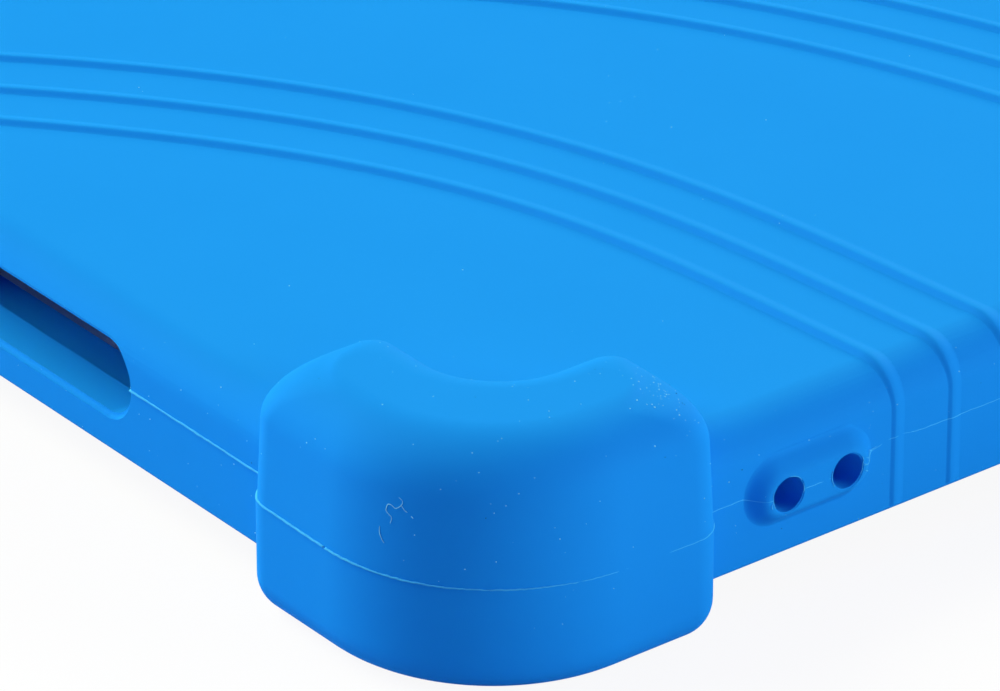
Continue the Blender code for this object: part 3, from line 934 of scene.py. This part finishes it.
studio = {
    "backdropColor": "#ffffff",
    "floorColor": "#ffffff",
    "floorBounce": "#b8b8cc",  # for all rays but those that show the floor
    "floorGlow": 0.92,
    "floorRoughness": 0.9,
    "floorSize": 6.0,  # metres, as are the next size and the lamps' distance and size
    "shadedHalf": (0.127, 0.082),  # the floor inside the walls, which no studio light reaches
    "floorDrop": 0.02,  # millimetres under the bumpers' feet
    "worldLevel": 0.30,
    "worldColor": "#7e84ff",
    "lamps": {
        "backLeft": {"azimuth": 142.0, "elevation": 42.0, "level": 0.42, "color": "#ffffd4"},
        "backRight": {"azimuth": 112.0, "elevation": 42.0, "level": 0.58, "color": "#ffffc0"},
        "farRight": {"azimuth": 20.0, "elevation": 25.0, "level": 0.52, "color": "#ffffdd"},
        "frontRight": {"azimuth": 322.0, "elevation": 42.0, "level": 0.09, "color": "#fffff0"},
        "nearRight": {"azimuth": 300.0, "elevation": 10.0, "level": 0.70, "color": "#fffff4"},
        "lowBack": {"azimuth": 130.0, "elevation": 10.0, "level": 0.54, "color": "#cbd6ff"},
    },
    "distance": 1.8,
    "lampSize": 0.8,
}


def makeLamp(name, lamp):
    # a square soft lamp that faces the sleeve; level is the light that it throws there
    azimuth, elevation = math.radians(lamp["azimuth"]), math.radians(lamp["elevation"])
    flat = math.cos(elevation)
    direction = Vector((flat * math.cos(azimuth), flat * math.sin(azimuth), math.sin(elevation)))
    light = bpy.data.lights.new(name, "AREA")
    light.shape = "SQUARE"
    light.size = studio["lampSize"]
    light.energy = lamp["level"] * math.pi ** 2 * studio["distance"] ** 2
    light.color = linearColor(lamp["color"])[:3]
    holder = bpy.data.objects.new(name, light)
    holder.location = direction * studio["distance"]
    holder.rotation_euler = direction.to_track_quat("Z", "Y").to_euler()
    bpy.context.scene.collection.objects.link(holder)


def raysThatSee(tree):
    # 1 for rays that show the studio itself, 0 for those that only carry its light
    rays = addNode(tree, "ShaderNodeLightPath")
    seen = rays.outputs["Is Camera Ray"]
    for kind in ("Is Glossy Ray", "Is Transmission Ray"):
        both = addNode(tree, "ShaderNodeMath", {"operation": "ADD", "use_clamp": True})
        tree.links.new(seen, both.inputs[0])
        tree.links.new(rays.outputs[kind], both.inputs[1])
        seen = both.outputs[0]
    return seen


def makeWorld():
    world = bpy.data.worlds.new("paleStudio")
    bpy.context.scene.world = world
    world.use_nodes = True
    tree = world.node_tree
    background = tree.nodes["Background"]
    seen = raysThatSee(tree)
    color = addNode(tree, "ShaderNodeMixRGB", {"Color1": linearColor(studio["worldColor"]),
                                               "Color2": linearColor(studio["backdropColor"])},
                    {"Fac": seen})
    tree.links.new(color.outputs["Color"], background.inputs["Color"])
    level = addNode(tree, "ShaderNodeMapRange", {"To Min": studio["worldLevel"], "To Max": 1.0},
                    {"Value": seen})
    tree.links.new(level.outputs["Result"], background.inputs["Strength"])


def makePaper(name, glowLevel):
    # matt white paper: seen nearly white with a faint shadow, while it throws little light back
    material = bpy.data.materials.new(name)
    material.use_nodes = True
    tree = material.node_tree
    shader = tree.nodes["Principled BSDF"]
    shader.inputs["Roughness"].default_value = studio["floorRoughness"]
    seen = raysThatSee(tree)
    color = addNode(tree, "ShaderNodeMixRGB", {"Color1": linearColor(studio["floorBounce"]),
                                               "Color2": linearColor(studio["floorColor"])}, {"Fac": seen})
    tree.links.new(color.outputs["Color"], shader.inputs["Base Color"])
    share = addNode(tree, "ShaderNodeMapRange", {"To Max": glowLevel}, {"Value": seen})
    glow = addNode(tree, "ShaderNodeEmission", {"Color": linearColor(studio["backdropColor"]),
                                                "Strength": 1.0})
    mix = addNode(tree, "ShaderNodeMixShader", None, {"Fac": share.outputs["Result"]})
    tree.links.new(shader.outputs["BSDF"], mix.inputs[1])
    tree.links.new(glow.outputs["Emission"], mix.inputs[2])
    tree.links.new(mix.outputs["Shader"], tree.nodes["Material Output"].inputs["Surface"])
    return material


def makeFloor():
    # three faces by three, the middle one in the shade of the sleeve
    half, shaded = studio["floorSize"] / 2, studio["shadedHalf"]
    down = -studio["floorDrop"] * mm
    points = [(x, y, down) for y in (-half, -shaded[1], shaded[1], half)
              for x in (-half, -shaded[0], shaded[0], half)]
    starts = [4 * row + column for row in range(3) for column in range(3)]
    mesh = bpy.data.meshes.new("studioFloor")
    mesh.from_pydata(points, [], [(k, k + 1, k + 5, k + 4) for k in starts])
    mesh.materials.append(makePaper("matWhitePaper", studio["floorGlow"]))
    mesh.materials.append(makePaper("matPaperInShade", 0.0))
    mesh.polygons[len(starts) // 2].material_index = 1
    floor = bpy.data.objects.new("studioFloor", mesh)
    bpy.context.scene.collection.objects.link(floor)


for lampName, lampValues in studio["lamps"].items():
    makeLamp(lampName, lampValues)
makeWorld()
makeFloor()
print("studio lit")


# Camera: a long lens that looks at the south west corner, as in the photograph

shot = {
    "lens": 288.0,
    "sensor": 36.0,
    "elevation": 28.431,
    "heading": 38.168,
    "location": (-386.93, -415.79, 251.88),
}
lens = bpy.data.cameras.new("shotCamera")
lens.lens = shot["lens"]
lens.sensor_width = shot["sensor"]
cameraHolder = bpy.data.objects.new("shotCamera", lens)
cameraHolder.location = Vector(shot["location"]) * mm
cameraHolder.rotation_euler = (math.radians(90 - shot["elevation"]), 0.0, math.radians(-shot["heading"]))
bpy.context.scene.collection.objects.link(cameraHolder)
bpy.context.scene.camera = cameraHolder
bpy.context.scene.view_settings.view_transform = "Standard"

bpy.data.objects.remove(middle, do_unlink=True)
